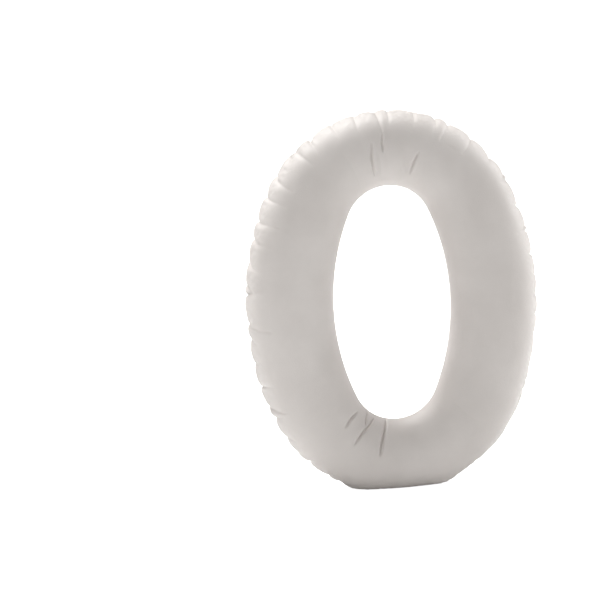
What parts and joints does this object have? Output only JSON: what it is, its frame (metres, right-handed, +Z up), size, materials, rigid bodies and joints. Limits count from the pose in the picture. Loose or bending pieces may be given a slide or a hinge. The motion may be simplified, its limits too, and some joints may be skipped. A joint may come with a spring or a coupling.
{
  "type": "headphone ear pad",
  "caption": "Oval over-ear headphone cushion: pleated pale synthetic leather round foam, on a moulded ring with hooks and spring latches that clip into the ear cup.",
  "frame": {"origin": "bottom centre of the bounding box: the table under the flattened lower end, where the pad stands", "axes": "+Z up the pad's long axis, +X across it, -Y towards the cushion's crest (the head), +Y towards the ear cup"},
  "size_m": [0.079, 0.0216, 0.1037],
  "materials": {
    "cover": "soft-grain synthetic leather, satin",
    "ring_plastic": "moulded white plastic with a cool lavender cast, fine satin texture",
    "clip_plastic": "black moulded nylon, fine satin texture",
    "foam": "slow-recovery polyurethane foam, open cells",
    "board": "thin die-cut board",
    "adhesive": "double-sided tape",
    "thread": "twisted polyester thread",
    "seal_foam": "black closed-cell foam strip"
  },
  "bodies": {
    "pad": {"base_ring": "ring_plastic", "clip_frame": "clip_plastic", "seal_ring": "seal_foam", "cushion_tape": "adhesive", "cover": "cover", "cushion_board": "board", "foam_core": "foam", "outer_thread": "thread", "inner_thread": "thread"},
    "lower_left_latch": {"lower_left_latch": "clip_plastic"},
    "lower_right_latch": {"lower_right_latch": "clip_plastic"},
    "upper_left_latch": {"upper_left_latch": "clip_plastic"},
    "upper_right_latch": {"upper_right_latch": "clip_plastic"}
  },
  "joints": [
    {"name": "lower_left_latch_flex", "type": "hinge", "parent": "pad", "child": "lower_left_latch", "pos_m": [-0.0306, 0.0057, 0.0342], "axis": [0.2434, 0, -0.9699], "range_deg": [0, 9], "stiffness_Nm_per_rad": 0.35},
    {"name": "lower_right_latch_flex", "type": "hinge", "parent": "pad", "child": "lower_right_latch", "pos_m": [0.0306, 0.0057, 0.0342], "axis": [0.2434, 0, 0.9699], "range_deg": [0, 9], "stiffness_Nm_per_rad": 0.35},
    {"name": "upper_left_latch_flex", "type": "hinge", "parent": "pad", "child": "upper_left_latch", "pos_m": [-0.0306, 0.0057, 0.0682], "axis": [-0.2434, 0, -0.9699], "range_deg": [0, 9], "stiffness_Nm_per_rad": 0.35},
    {"name": "upper_right_latch_flex", "type": "hinge", "parent": "pad", "child": "upper_right_latch", "pos_m": [0.0306, 0.0057, 0.0682], "axis": [-0.2434, 0, 0.9699], "range_deg": [0, 9], "stiffness_Nm_per_rad": 0.35}
  ]
}
